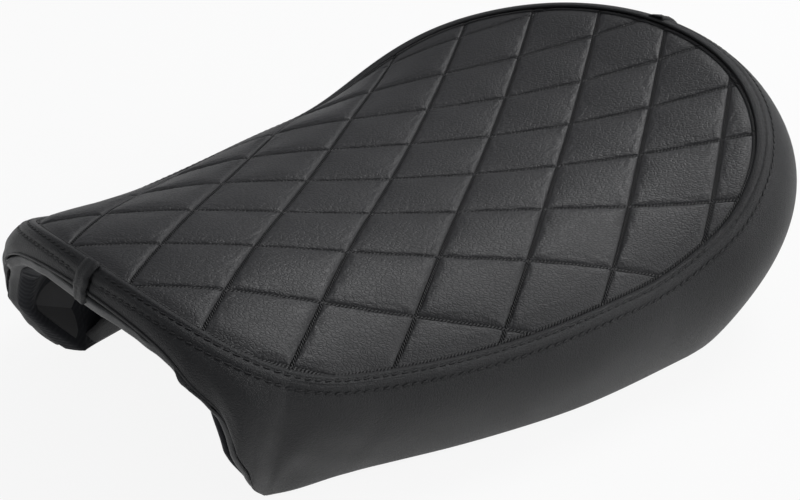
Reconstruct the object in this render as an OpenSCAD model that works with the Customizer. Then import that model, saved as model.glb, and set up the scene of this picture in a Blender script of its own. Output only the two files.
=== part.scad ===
// Solo motorcycle seat: a moulded pan, a foam core, and a sewn cover made of one quilted top panel
// and two side bands that meet at the nose and at the tail.
// The seat points along +X. Its rim stands on Z = 0, and the origin is under the middle of its length.

/* [Cover outline] */
// Distance from the lowest point of the saddle to the seam at the nose
nose_reach = 198; // [185:1:215]
// Distance from the lowest point of the saddle to the seam at the tail
tail_reach = 225; // [210:1:250]
// Half width of the seam where the rounded nose begins
nose_half_w = 120; // [112:1:128]
// Half width of the seam across the tail
tail_half_w = 152; // [140:1:165]
// Length of the rounded nose
nose_round = 94; // [84:1:104]
// Length of the rounded tail
tail_round = 121; // [110:1:140]
// Height of the lowest point of the saddle above the rim
saddle_h = 87; // [78:1:100]
// Rise of the seam from the saddle to the nose
nose_rise = 14; // [6:1:20]
// Rise of the seam from the saddle to the tail
tail_rise = 41; // [25:1:55]
// Drop of the top from its centre line to the seam, beside the saddle
crown_drop = 29; // [20:1:34]
// Further drop of the top beside the nose
nose_drop = 6; // [3:1:10]

/* [Side bands] */
// Thickness of the band's coated fabric and its backing
band_t = 2; // [1.5:0.1:3]
// How far the band bulges at the nose
bulge_nose = 4; // [2:0.5:6]
// How far the band bulges along the sides
bulge_side = 12; // [8:0.5:15]
// How far the band bulges round the tail
bulge_tail = 31; // [22:0.5:34]
// How far the rim lies inside the seam along the sides
rim_in_side = 2; // [0:0.5:4]
// The same at the flaps
rim_in_front = 12; // [8:0.5:14]
// How much further it lies in round the tail
rim_in_tail = 20; // [14:1:24]
// Height of the hem glued inside the rim
hem_h = 16; // [10:1:22]
// Step from the panel up to the band's folded edge
fold_step = 2; // [1:0.5:3]

/* [Quilting] */
// Length of a diamond along the seat
quilt_l = 79; // [70:1:90]
// Width of a diamond across the seat, along the top
quilt_w = 55.3; // [48:0.1:64]
// Height of a diamond's middle over the top's even form
quilt_rise = 2.6; // [1:0.2:4]
// Depth of the sewn lines below it
quilt_sink = 1; // [0.4:0.2:2]

/* [Front arch] */
// Half width of the arch between the front flaps
arch_half_w = 109; // [100:1:116]
// Distance from the top of the arch down to the lowest point of the seat's saddle
arch_below = 2; // [0:1:6]
// How far the arch's edge stands ahead of the nose seam
arch_ahead = 9; // [6:1:14]
// Height over which the flaps' front edges lean back, above the rim
flap_h = 38; // [30:1:45]
// How far the flaps' front corners lean back at the rim
flap_lean = 27; // [15:1:35]
// How far the flaps curl in at the rim
flap_curl = 11; // [4:1:14]
// Width of the band's turned edge under the arch
turn_w = 5; // [4:0.5:7]
// How far the facing under the nose slopes down to the pan's edge
facing_fall = 10; // [5:0.5:12]

/* [Padding] */
// Thickness of the quilted panel, fabric and backing foam together
panel_t = 8; // [6:0.5:10]
// Thickness of the padding over the pan, cover included
pad_t = 34; // [30:1:38]
// The same at the nose
pad_nose_t = 17; // [16:0.5:20]
// Thickness of the padding outside the pan's skirt at the rim
skirt_pad = 14; // [12:0.5:18]
// Gap between a soft layer and the next
soft_gap = 0.4; // [0.2:0.1:0.6]

/* [Pan] */
// Wall of the moulded pan
pan_wall = 3.5; // [3:0.5:5]
// Depth of the ribs under the pan's deck
rib_depth = 12; // [8:1:16]
// Thickness of those ribs
rib_t = 3; // [2:0.5:4]

/* [Fixings] */
// Depth of the bosses' faces below the saddle's lowest point, where brackets are bolted
fix_depth = 38; // [37:0.5:42]
// Depth of the bosses' faces that hold the buffers
buffer_fix_depth = 46; // [44:0.5:50]
// Depth of the buffers' lower faces, which rest on the motorcycle's frame
buffer_face_depth = 60; // [57:0.5:66]
// Diameter of a buffer
buffer_d = 26; // [20:1:30]
// Distance of the front buffers ahead of the saddle's lowest point
front_buffer_x = 55; // [45:1:62]
// Distance of the rear buffers behind it
rear_buffer_x = 70; // [60:1:80]
// Distance between left and right buffers
buffer_span = 140; // [120:1:150]
// Distance of the rear nuts behind the saddle's lowest point
rear_nut_x = 130; // [122:1:138]
// Distance between the two rear nuts
rear_nut_span = 96; // [80:1:104]
// Thread size of the rear nuts
rear_thread = 8; // [6:1:8]
// Diameter of the bolts that hold the brackets to the pan
bolt_d = 6; // [5:1:6]
// Thickness of the rear brackets
bracket_t = 3; // [2:0.5:4]
// Width of the front tongue
tongue_w = 44; // [36:1:52]
// Thickness of the front tongue
tongue_t = 4; // [3:0.5:5]
// Distance of the tongue's tip ahead of the saddle's lowest point
tongue_tip_x = 140; // [134:1:144]
// Diameter of the rivets that hold the hem
rivet_d = 4; // [3:0.5:4.8]

/* [Hidden] */

// Numbers of steps round half the outline: nose, side and tail
nose_steps = 9;
side_steps = 9;
tail_steps = 9;
half_steps = nose_steps + side_steps + tail_steps;
// The flap's front corner lies under this step of the nose
corner_step = 6;
loop_steps = 2 * half_steps;

// Where the nose curve and the tail curve start along X, and how square each is
nose_start = nose_reach - nose_round;
tail_start = tail_round - tail_reach;
nose_power = 2.8;
tail_power = 2;
// Where the sides start to widen, how fast, and how softly they set out
taper_start = nose_start + 20;
taper_power = 2.26;
taper_blend = 0.06;
// How late the top falls away to the seam, behind crown_from and beside the nose
crown_power = 4.5;
nose_crown_power = 2.8;
crown_from = -37;
// How late the tail turns up
tail_sweep = 2.35;
// Towards the tail the crown gets flatter by this share, from flat_start back over flat_run
tail_flat = 0.64;
flat_start = 44;
flat_run = 137;
// The arch's outline: how square it is, and how far its edge falls back at the flaps
arch_power = 3.2;
arch_wrap = 10;
// The shape's middle, which the rings of the top close in on
hub_x = -15;

function clamp01(t) = min(max(t, 0), 1);
function ease(t) = let (c = clamp01(t)) c * c * (3 - 2 * c);

// Half width of the cover between its rounded ends
function side_w(x) =
    let (t = (taper_start - x) / (taper_start - tail_start))
    let (s = min((t + sqrt(t * t + taper_blend * taper_blend)) / 2, 1))
    nose_half_w + (tail_half_w - nose_half_w) * (1 - pow(1 - s, taper_power));

// Height of the top along the centre line, from the saddle's lowest point
function spine_z(x) = x > 0
    ? nose_rise * ease(x / nose_reach)
    : tail_rise * pow(-x / tail_reach, tail_sweep);

function near_nose(x) = ease((x - crown_from) / (nose_start - crown_from));
function drop_at(x) = (crown_drop + nose_drop * near_nose(x))
    * (1 - tail_flat * ease((-x - flat_start) / flat_run));
function crown_at(x) = crown_power + (nose_crown_power - crown_power) * near_nose(x);

function top_z(x, y) = spine_z(x) - drop_at(x) * pow(abs(y) / side_w(x), crown_at(x));

// Half of the seam in plan, from the nose round the left side to the tail
nose_pts = [for (i = [0 : nose_steps - 1]) let (a = 90 * i / nose_steps)
    let (x = nose_start + (nose_reach - nose_start) * pow(cos(a), 2 / nose_power))
    [x, side_w(x) * pow(sin(a), 2 / nose_power)]];
side_pts = [for (i = [0 : side_steps - 1])
    let (x = nose_start + (tail_start - nose_start) * i / side_steps) [x, side_w(x)]];
tail_pts = [for (i = [0 : tail_steps]) let (a = 90 * i / tail_steps)
    [tail_start - (tail_reach + tail_start) * pow(sin(a), 2 / tail_power),
     side_w(tail_start) * pow(cos(a), 2 / tail_power)]];
half_plan = concat(nose_pts, side_pts, tail_pts);

// A step past the half comes back along the right side
function on_left(i) = i <= half_steps;
function near_i(i) = on_left(i) ? i : loop_steps - i;
function mirrored(p, i) = on_left(i) ? p : [p.x, -p.y, p.z];
function unit(v) = v / norm(v);
// How far in the hem goes under the rim
under_w = skirt_pad + pan_wall + band_t + 2 * soft_gap;

// Outward normal of the seam in plan
function out_n(i) = i == 0 ? [1, 0, 0] : i == half_steps ? [-1, 0, 0] :
    let (d = half_plan[i + 1] - half_plan[i - 1]) unit([d.y, -d.x, 0]);

function seam_pt(i) = let (p = half_plan[i]) [p.x, p.y, top_z(p.x, p.y)];

// Lower edge of the cover: the arch up to the flap's corner, then the rim
function arch_up(i) = pow(cos(90 * i / corner_step), 2 / arch_power);
function arch_out(i) = pow(sin(90 * i / corner_step), 2 / arch_power);
function arch_pt(i) =
    let (z = (saddle_h - arch_below) * arch_up(i), w = arch_out(i), deep = clamp01(1 - z / flap_h))
    [nose_reach + arch_ahead - arch_wrap * w * w - flap_lean * pow(deep, 1.4),
     arch_half_w * w - flap_curl * pow(deep, 1.5), z - saddle_h];
// The rim tucks in under the seam, more at the flaps and most round the tail
tuck_start = -16;
tuck_run = 180;
function tuck(x, n) = rim_in_side
    + (rim_in_front - rim_in_side) * ease((x - tuck_start) / tuck_run)
    + rim_in_tail * max(-n.x, 0);
function rim_pt(i) = let (p = half_plan[i], n = out_n(i), r = tuck(p.x, n))
    [p.x - n.x * r, p.y - n.y * r, -saddle_h];
function low_pt(i) = i <= corner_step ? arch_pt(i) : rim_pt(i);

// The bulge grows from the nose to the sides, and again towards the tail over bulge_run.
// Its widest line is a little above the middle of the band
bulge_start = 60;
bulge_run = 133;
function bulge(i) = bulge_nose + (bulge_side - bulge_nose) * ease(i / corner_step)
    + (bulge_tail - bulge_side) * ease((-bulge_start - half_plan[i].x) / bulge_run);
function swell(h) = pow(sin(180 * pow(h, 0.68)), 0.8);

// A point on the band, a share h of the way down from the seam to the lower edge, moved in by t.
// The band lies back by top_lean at the seam and stands up straight past the share lean_end
top_lean = 70;
lean_end = 0.4;
function skin_pt(i, h, t) =
    let (s = seam_pt(i) + [0, 0, fold_step * (1 - h)], l = low_pt(i), n = out_n(i))
    let (lean = top_lean * clamp01(1 - h / lean_end))
    s * (1 - h) + l * h + n * (bulge(i) * swell(h) - t * cos(lean)) - [0, 0, t * sin(lean)];

// Inner end of the facing that closes the arch, about a pan's wall in from the lower edge
facing_w = 0.9 * under_w;
function arch_end(i) = low_pt(i)
    - [facing_w * (1 - 0.3 * arch_out(i)), facing_w * arch_out(i), facing_fall * arch_up(i)];

// Direction in from the lower edge, along the arch's end face or across the rim
function edge_way(i) = i < corner_step ? unit(arch_end(i) - low_pt(i)) : -out_n(i);

// Direction up into the body, square to the lower edge and to edge_way
function edge_up(i) =
    let (ahead = i >= half_steps ? [0, -1, 0] : unit(low_pt(i + 1) - low_pt(i)))
    let (behind = i == 0 ? [0, 1, 0] : unit(low_pt(i) - low_pt(i - 1)))
    unit(cross(ahead + behind, edge_way(i)));

// A point under the padding: w in from the lower edge and up above it
function under_pt(i, w, up) = low_pt(i) + edge_way(i) * w + edge_up(i) * up;

function ring(pts_of) = [for (i = [0 : loop_steps - 1]) mirrored(pts_of(near_i(i)), i)];

// The two triangles of the four-sided patch a, b, c, d of pts, split along its shorter diagonal
function patch(pts, a, b, c, d) = norm(pts[a] - pts[c]) < norm(pts[b] - pts[d])
    ? [[a, b, c], [a, c, d]] : [[a, b, d], [b, c, d]];

// A closed solid from a stack of rings of equal length, capped by a point at each end
module ring_solid(first, rings, last) {
    n = len(rings[0]);
    m = len(rings);
    pts = concat([first], [for (r = rings) each r], [last]);
    end = len(pts) - 1;
    function at(j, i) = 1 + j * n + (i % n);
    polyhedron(points = pts, faces = concat(
        [for (i = [0 : n - 1]) [0, at(0, i + 1), at(0, i)]],
        [for (j = [0 : m - 2], i = [0 : n - 1])
            each patch(pts, at(j, i), at(j, i + 1), at(j + 1, i + 1), at(j + 1, i))],
        [for (i = [0 : n - 1]) [end, at(m - 1, i), at(m - 1, i + 1)]]));
}

// A closed strip from a row of equal sections. The first half of a section is its outer side,
// the second half its inner side in reverse, and the ends are closed from one side to the other
module section_solid(sections) {
    m = len(sections);
    n = len(sections[0]);
    pts = [for (s = sections) each s];
    function at(j, i) = j * n + (i % n);
    polyhedron(points = pts, faces = concat(
        [for (i = [0 : n / 2 - 2]) each patch(pts, i, i + 1, n - 2 - i, n - 1 - i)],
        [for (j = [0 : m - 2], i = [0 : n - 1])
            each patch(pts, at(j, i), at(j + 1, i), at(j + 1, i + 1), at(j, i + 1))],
        [for (i = [0 : n / 2 - 2])
            each patch(pts, at(m - 1, n - 1 - i), at(m - 1, n - 2 - i), at(m - 1, i + 1),
                at(m - 1, i))]));
}

top_rings = [0.2, 0.4, 0.6, 0.75, 0.86, 0.94, 1];
band_rows = [0, 0.08, 0.2, 0.36, 0.54, 0.76, 1];
// The panel ends this far inside the seam line, clear of the band's fold
seam_inset = 1.2;

function plan_in(i, inset) = half_plan[i] - inset * [out_n(i).x, out_n(i).y];
function top_pt(i, k, inset, depth) = let (p = plan_in(i, inset))
    let (x = hub_x + k * (p.x - hub_x), y = k * p.y) [x, y, top_z(x, y) - depth];
function top_ring(k, depth) = ring(function (i) top_pt(i, k, seam_inset, depth));
function hub_pt(depth) = [hub_x, 0, top_z(hub_x, 0) - depth];

// Everything is drawn from the saddle's lowest point and then set over the origin
seat_front = max([for (h = band_rows) skin_pt(0, h, 0).x]);
seat_back = min([for (h = band_rows) skin_pt(half_steps, h, 0).x]);
module placed() {
    translate([-(seat_front + seat_back) / 2, 0, saddle_h]) children();
}

// Half the width at x that lies within a length s along the top from its centre line
arc_steps = 12;
function slope_y(x, y) =
    drop_at(x) * crown_at(x) / side_w(x) * pow(abs(y) / side_w(x), crown_at(x) - 1);
function across(x, s, k = 0, y = 0) = k == arc_steps ? y
    : across(x, s, k + 1, y + s / arc_steps / sqrt(1 + pow(slope_y(x, y), 2)));

// The quilt's lines cross at every second point of a grid, and the diamonds' middles stand on
// the others. Each of its steps is halved, so that the facets follow the top
grid_x = quilt_l / 4;
grid_s = quilt_w / 4;
grid_back = -ceil(tail_reach / grid_x) - 1;
grid_front = ceil(nose_reach / grid_x) + 1;
grid_side = ceil((tail_half_w + crown_drop) / grid_s);
// Distance from a whole number, for the counts of lines at a grid point
function off_line(t) = abs(t - round(t));
function relief(a, b) = 2 * (quilt_rise + quilt_sink)
    * min(off_line((a + b) / 4), off_line((a - b) / 4)) - quilt_sink;
function quilt_pt(a, b) = let (x = a * grid_x, s = b * grid_s)
    let (y = s < 0 ? -across(x, -s) : across(x, s)) [x, y, top_z(x, y) + relief(a, b)];

// A block whose upper face has the quilt's form, wider than the panel that is cut from it
quilt_block_z = -60;
module quilt_block() {
    rows = grid_front - grid_back;
    cols = 2 * grid_side;
    top = [for (a = [grid_back : grid_front], b = [-grid_side : grid_side]) quilt_pt(a, b)];
    function at(a, b) = a * (cols + 1) + b;
    edge = concat([for (b = [0 : cols - 1]) at(rows, b)], [for (a = [rows : -1 : 1]) at(a, cols)],
        [for (b = [cols : -1 : 1]) at(0, b)], [for (a = [0 : rows - 1]) at(a, 0)]);
    n = len(edge);
    base = len(top);
    low = [for (e = edge) [top[e].x, top[e].y, quilt_block_z]];
    // The sewn line runs from corner to corner of a step, one way or the other by turns
    function sewn_up(a, b) =
        (abs(floor((a + grid_back) / 2) + floor((b - grid_side) / 2))) % 2 == 0;
    polyhedron(points = concat(top, low, [[hub_x, 0, quilt_block_z]]), faces = concat(
        [for (a = [0 : rows - 1], b = [0 : cols - 1]) each sewn_up(a, b)
            ? [[at(a, b), at(a + 1, b + 1), at(a + 1, b)], [at(a, b), at(a, b + 1), at(a + 1, b + 1)]]
            : [[at(a, b), at(a, b + 1), at(a + 1, b)],
               [at(a + 1, b), at(a, b + 1), at(a + 1, b + 1)]]],
        [for (i = [0 : n - 1]) let (j = (i + 1) % n) each
            [[edge[i], edge[j], base + j], [edge[i], base + j, base + i]]],
        [for (i = [0 : n - 1]) [base + n, base + i, base + (i + 1) % n]]));
}

// Quilted top panel: coated fabric sewn through a backing foam
panel_room = quilt_rise + 3;
module quilted_panel() {
    color("#232325") placed() intersection() {
        ring_solid(hub_pt(-panel_room),
            concat([for (k = top_rings) top_ring(k, -panel_room)],
                [for (j = [len(top_rings) - 1 : -1 : 0]) top_ring(top_rings[j], panel_t)]),
            hub_pt(panel_t));
        quilt_block();
    }
}

// The band's section: outside from the seam to the rim, then turned under and up inside
// Up to the flap's corner the hem is only the fold, and it rises past the corner
fold_t = band_t + soft_gap / 2;
function turn_at(i) = i < corner_step ? turn_w : under_w;
function hem_at(i) = i <= corner_step ? fold_t : hem_h;
function band_section(i) = let (w = turn_at(i), u = hem_at(i)) concat(
    [for (h = band_rows) skin_pt(i, h, 0)],
    [under_pt(i, w, 0), under_pt(i, w, u), under_pt(i, w - band_t, u),
     under_pt(i, w - band_t, band_t), under_pt(i, band_t, band_t)],
    [for (j = [len(band_rows) - 2 : -1 : 0]) skin_pt(i, band_rows[j], band_t)]);

module band() {
    placed() difference() {
        section_solid([for (i = [0 : half_steps]) band_section(i)]);
        rivet_holes();
    }
}
module band_left() {
    color("#2e2f32") band();
}
module band_right() {
    color("#2e2f32") mirror([0, 1, 0]) band();
}

// The pan: a deck parallel to the top, and a skirt down to the rim and round the arch
pad_run = 120;
function pad_at(x) = pad_nose_t
    + (pad_t - pad_nose_t) * ease((nose_reach - pan_edge - x) / pad_run);
deck_rings = [0.3, 0.55, 0.75, 0.9];
skirt_rows = [0.3, 0.65];
// The skirt bulges by this share of the band's bulge
skirt_bulge = 0.4;
pan_edge = skirt_pad + soft_gap;
cover_clear = band_t + soft_gap;

function deck_z(x, y) = top_z(x, y) - pad_at(x);
function deck_pt(i, k, depth) = let (p = plan_in(i, pan_edge))
    let (x = hub_x + k * (p.x - hub_x), y = k * p.y) [x, y, deck_z(x, y) - depth];
function skirt_way(i) = let (q = unit(under_pt(i, pan_edge, cover_clear) - deck_pt(i, 1, 0)))
    [q * out_n(i), q.z];
function skirt_in(i) = let (q = skirt_way(i), n = out_n(i)) [n.x * q[1], n.y * q[1], -q[0]];
// A point on the pan's skirt at share g of its depth, moved in by t across the wall
function skirt_pt(i, g, t) =
    let (s = deck_pt(i, 1, 0), l = under_pt(i, pan_edge, cover_clear))
    s * (1 - g) + l * g + skirt_in(i) * t + out_n(i) * bulge(i) * skirt_bulge * sin(180 * g)
    + (g == 0 ? [0, 0, t * skirt_way(i)[1]] : [0, 0, 0]);
function deck_ring(k, depth) = ring(function (i) deck_pt(i, k, depth));
function skirt_ring(g, t) = ring(function (i) skirt_pt(i, g, t));
function pan_low_ring(w) = ring(function (i) under_pt(i, w, cover_clear));
function deck_hub(depth) = [hub_x, 0, deck_z(hub_x, 0) - depth];

// Foam core: fills the space between the cover and the pan
module foam_core() {
    up = cover_clear;
    color("#c9b26a") placed() ring_solid(hub_pt(panel_t + soft_gap),
        concat([for (k = top_rings) top_ring(k, panel_t + soft_gap)],
            [for (j = [0 : len(band_rows) - 2])
                ring(function (i) skin_pt(i, band_rows[j], up))],
            [ring(function (i) under_pt(i, up + soft_gap, up + soft_gap / 2)),
             pan_low_ring(skirt_pad)],
            [for (j = [len(skirt_rows) - 1 : -1 : 0]) skirt_ring(skirt_rows[j], -soft_gap)],
            [skirt_ring(0, -soft_gap)],
            [for (j = [len(deck_rings) - 1 : -1 : 0]) deck_ring(deck_rings[j], -soft_gap)]),
        deck_hub(-soft_gap));
}

module pan_shell() {
    ring_solid(deck_hub(0),
        concat([for (k = deck_rings) deck_ring(k, 0)],
            [skirt_ring(0, 0)],
            [for (g = skirt_rows) skirt_ring(g, 0)],
            [pan_low_ring(pan_edge), pan_low_ring(pan_edge + pan_wall)],
            [for (j = [len(skirt_rows) - 1 : -1 : 0]) skirt_ring(skirt_rows[j], pan_wall)],
            [skirt_ring(0, pan_wall)],
            [for (j = [len(deck_rings) - 1 : -1 : 0]) deck_ring(deck_rings[j], pan_wall)]),
        deck_hub(pan_wall));
}

// Lining glued inside the pan round the front arch, from under the deck down both flaps
lining_t = 1.5;
lining_steps = corner_step + 3;
module arch_lining() {
    function row(i, off) = concat(
        [for (k = [deck_rings[2], deck_rings[3]]) deck_pt(i, k, pan_wall + off)],
        [for (g = concat([0], skirt_rows)) skirt_pt(i, g, pan_wall + off)]);
    function section(i) = let (a = row(i, soft_gap), b = row(i, soft_gap + lining_t))
        concat(a, [for (j = [len(b) - 1 : -1 : 0]) b[j]]);
    function flip(p) = [for (q = p) [q.x, -q.y, q.z]];
    color("#202226") placed() section_solid([for (i = [-lining_steps : lining_steps])
        i < 0 ? flip(section(-i)) : section(i)]);
}

// Folds that cover the joint of the two bands at the nose and at the tail
fold_w = 11;
fold_thick = 1.6;
module seam_fold(i) {
    side = i == 0 ? 1 : -1;
    function out(h, t) = skin_pt(i, h, -t);
    function section(h) = let (a = out(h, soft_gap), b = out(h, soft_gap + fold_thick))
        [a - [0, side * fold_w / 2, 0], a + [0, side * fold_w / 2, 0],
         b + [0, side * fold_w / 2, 0], b - [0, side * fold_w / 2, 0]];
    placed() section_solid([for (h = band_rows) section(h)]);
}
module front_seam_fold() {
    color("#2a2b2e") seam_fold(0);
}
module rear_seam_fold() {
    color("#2a2b2e") seam_fold(half_steps);
}

// A block under the deck from x0 to x1 and y0 to y1, its top inside the deck's wall
module deck_block(x0, x1, y0, y1, bottom) {
    far_y = max(abs(y0), abs(y1));
    steps = 4;
    top = [for (i = [0 : steps]) let (x = x0 + (x1 - x0) * i / steps)
        [x, deck_z(x, far_y) - pan_wall / 3]];
    translate([0, y1, 0]) rotate([90, 0, 0]) linear_extrude(y1 - y0)
        polygon(concat(top, [[x1, bottom], [x0, bottom]]));
}

// Places on the pan, from the saddle's lowest point. A boss reaches boss_edge past a bolt
boss_edge = 17;
bracket_edge = 13;
bracket_corner = 6;
buffer_boss = 24;
bolt_play = 0.6;
slip = 0.1;
insert_d = bolt_d + 3;
insert_l = 9;
tongue_bolt_x = 97;
tongue_bolt_span = 26;
bracket_bolt_gap = 30;
bracket_bolt_out = 28;
bracket_bolt_y = rear_nut_span / 2 + bracket_bolt_out;
bracket_l = bracket_bolt_gap + 20;
tongue_root = tongue_bolt_x - boss_edge;
tongue_bend = tongue_bolt_x + boss_edge;
bolt_spots = concat(
    [for (s = [-1, 1]) [tongue_bolt_x, s * tongue_bolt_span / 2, tongue_t]],
    [for (s = [-1, 1], e = [-1, 1])
        [-rear_nut_x + e * bracket_bolt_gap / 2, s * bracket_bolt_y, bracket_t]]);
buffer_spots = [for (x = [front_buffer_x, -rear_buffer_x], s = [1, -1])
    [x, s * buffer_span / 2, 0]];
stem_d = 10;
stem_l = 8;
vent_d = 8;
vent_x = [15, -50];
vent_y = 42;
vent_spots = [for (x = vent_x, s = [1, -1]) [x, s * vent_y, 0]];

// Two ribs run along the deck between the brackets, and two cross it
rib_y = 20;
rib_back = -150;
rib_front = 70;
cross_rib_x = [-95, -20];
cross_rib_y = 100;
module pan_ribs() {
    for (s = [-1, 1]) deck_rib_x(s * rib_y, rib_back, rib_front);
    for (x = cross_rib_x) deck_rib_y(x, cross_rib_y);
}
// A rib along X under the deck at y, from x0 to x1
module deck_rib_x(y, x0, x1) {
    steps = 10;
    xs = [for (i = [0 : steps]) x0 + (x1 - x0) * i / steps];
    top = [for (x = xs) [x, deck_z(x, y) - pan_wall / 2]];
    low = [for (i = [steps : -1 : 0]) [xs[i], deck_z(xs[i], y) - pan_wall - rib_depth]];
    translate([0, y + rib_t / 2, 0]) rotate([90, 0, 0]) linear_extrude(rib_t)
        polygon(concat(top, low));
}
// A rib across the deck at x, out to y either side
module deck_rib_y(x, y) {
    steps = 10;
    ys = [for (i = [0 : steps]) y * (2 * i / steps - 1)];
    top = [for (v = ys) [v, deck_z(x, v) - pan_wall / 2]];
    low = [for (i = [steps : -1 : 0]) [ys[i], deck_z(x, ys[i]) - pan_wall - rib_depth]];
    translate([x - rib_t / 2, 0, 0]) rotate([90, 0, 90]) linear_extrude(rib_t)
        polygon(concat(top, low));
}

// The hem's rivets, one to every second step past the arch lining
rivet_steps = [for (j = [lining_steps + 1 : 2 : half_steps - 2]) j];
rivet_up = 10;
rivet_l = under_w - pan_edge - 0.2;
module rivet_holes() {
    at_rivets(under_w) translate([0, 0, -rivet_l - 1])
        cylinder(d = rivet_d, h = rivet_l + 3, $fn = 24);
}
module at_rivets(w) {
    for (j = rivet_steps, s = [1, -1]) {
        a = under_pt(j, w, rivet_up);
        b = under_pt(j + 1, w, rivet_up);
        m = (a + b) / 2;
        d = b - a;
        translate([m.x, s * m.y, m.z]) rotate([0, 90, atan2(s * d.x, -d.y)]) children();
    }
}

module seat_pan() {
    color("#1a1a1c") placed() difference() {
        union() {
            pan_shell();
            pan_ribs();
            deck_block(tongue_root, tongue_bend, -tongue_w / 2, tongue_w / 2, -fix_depth);
            for (s = [-1, 1])
                deck_block(-rear_nut_x - bracket_l / 2, -rear_nut_x + bracket_l / 2,
                    s * bracket_bolt_y - bracket_edge, s * bracket_bolt_y + bracket_edge,
                    -fix_depth);
            for (p = buffer_spots)
                deck_block(p.x - buffer_boss / 2, p.x + buffer_boss / 2,
                    p.y - buffer_boss / 2, p.y + buffer_boss / 2, -buffer_fix_depth);
        }
        for (p = bolt_spots)
            translate([p.x, p.y, -fix_depth - 1]) cylinder(d = insert_d, h = insert_l + 1, $fn = 32);
        for (p = buffer_spots)
            translate([p.x, p.y, -buffer_fix_depth - 1])
                cylinder(d = stem_d, h = stem_l + 1, $fn = 32);
        for (p = vent_spots)
            translate([p.x, p.y, -saddle_h]) cylinder(d = vent_d, h = saddle_h, $fn = 32);
        rivet_holes();
    }
}

// Facing that closes the foam's end round the arch, from the band's turned edge to the pan
module front_facing() {
    w0 = turn_w + soft_gap;
    w1 = pan_edge + pan_wall;
    function section(i) = [under_pt(i, w0, 0), under_pt(i, w1, 0),
        under_pt(i, w1, band_t), under_pt(i, w0, band_t)];
    function flip(s) = [for (p = s) [p.x, -p.y, p.z]];
    steps = corner_step - 1;
    color("#333438") placed() section_solid([for (i = [-steps : steps])
        i < 0 ? flip(section(-i)) : section(i)]);
}

// Rivets through the hem into the pan's skirt
rivet_head_d = rivet_d * 2;
rivet_head_h = 1.4;
module hem_rivets() {
    color("#8d9094") placed() at_rivets(under_w) {
        translate([0, 0, slip]) cylinder(d = rivet_head_d, h = rivet_head_h, $fn = 24);
        translate([0, 0, -rivet_l]) cylinder(d = rivet_d - slip, h = rivet_l + 2 * slip, $fn = 24);
    }
}

// A flat plate with round corners, w by d, in the middle of X and Y
module round_plate(w, d, r, t) {
    linear_extrude(t) {
        square([w - 2 * r, d], center = true);
        square([w, d - 2 * r], center = true);
        for (x = [-1, 1], y = [-1, 1])
            translate([x * (w / 2 - r), y * (d / 2 - r)]) circle(r, $fn = 48);
    }
}

// Tongue that slips under the cross tube behind the tank
tongue_drop = 8;
module front_tongue() {
    z0 = -fix_depth;
    z1 = z0 - tongue_drop;
    // The bend runs down at 45 degrees, and its underside turns a little sooner
    foot = tongue_bend + tongue_drop;
    cut = tongue_t * 0.4;
    color("#3a3c40") placed() difference() {
        translate([0, tongue_w / 2, 0]) rotate([90, 0, 0]) linear_extrude(tongue_w)
            polygon([[tongue_root, z0], [tongue_bend, z0], [foot, z1], [tongue_tip_x, z1],
                [tongue_tip_x, z1 - tongue_t], [foot - cut, z1 - tongue_t],
                [tongue_bend - cut, z0 - tongue_t], [tongue_root, z0 - tongue_t]]);
        for (s = [-1, 1]) translate([tongue_bolt_x, s * tongue_bolt_span / 2, z0 - tongue_t - 1])
            cylinder(d = bolt_d + bolt_play, h = tongue_t + 2, $fn = 32);
    }
}

// Steel bracket bolted to the pan's boss, with a nut welded over its hole
module rear_bracket(s) {
    y_in = rear_nut_span / 2 - bracket_edge;
    y_out = bracket_bolt_y + bracket_edge;
    color("#3a3c40") placed() difference() {
        translate([-rear_nut_x, s * (y_in + y_out) / 2, -fix_depth - bracket_t])
            round_plate(bracket_l, y_out - y_in, bracket_corner, bracket_t);
        for (e = [-1, 1])
            translate([-rear_nut_x + e * bracket_bolt_gap / 2, s * bracket_bolt_y,
                -fix_depth - bracket_t - 1])
                cylinder(d = bolt_d + bolt_play, h = bracket_t + 2, $fn = 32);
        translate([-rear_nut_x, s * rear_nut_span / 2, -fix_depth - bracket_t - 1])
            cylinder(d = rear_thread + bolt_play, h = bracket_t + 2, $fn = 48);
    }
}
module rear_bracket_left() {
    rear_bracket(1);
}
module rear_bracket_right() {
    rear_bracket(-1);
}

nut_h = 0.8 * rear_thread;
module rear_nut(s) {
    color("#a4a7ab") placed() translate([-rear_nut_x, s * rear_nut_span / 2, -fix_depth])
        difference() {
            cylinder(d = 1.85 * rear_thread, h = nut_h, $fn = 6);
            translate([0, 0, -1]) cylinder(d = 0.85 * rear_thread, h = nut_h + 2, $fn = 48);
        }
}
module rear_nut_left() {
    rear_nut(1);
}
module rear_nut_right() {
    rear_nut(-1);
}

// Bolts, washers and threaded inserts of the tongue and the brackets
washer_t = 1.2;
head_h = 0.65 * bolt_d;
module bracket_bolts() {
    color("#a4a7ab") placed() for (p = bolt_spots)
        translate([p.x, p.y, -fix_depth - p.z - washer_t]) {
            translate([0, 0, -head_h]) cylinder(d = 1.9 * bolt_d, h = head_h, $fn = 6);
            cylinder(d = bolt_d - slip, h = washer_t + p.z + insert_l - 1, $fn = 32);
        }
}
module bracket_washers() {
    color("#b4b7ba") placed() for (p = bolt_spots)
        translate([p.x, p.y, -fix_depth - p.z - washer_t]) difference() {
            cylinder(d = 2.1 * bolt_d, h = washer_t, $fn = 40);
            translate([0, 0, -1]) cylinder(d = bolt_d + 0.4, h = washer_t + 2, $fn = 40);
        }
}
module pan_inserts() {
    color("#b08d4a") placed() for (p = bolt_spots)
        translate([p.x, p.y, -fix_depth]) difference() {
            cylinder(d = insert_d, h = insert_l, $fn = 32);
            translate([0, 0, -1]) cylinder(d = bolt_d, h = insert_l + 2, $fn = 32);
        }
}

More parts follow.
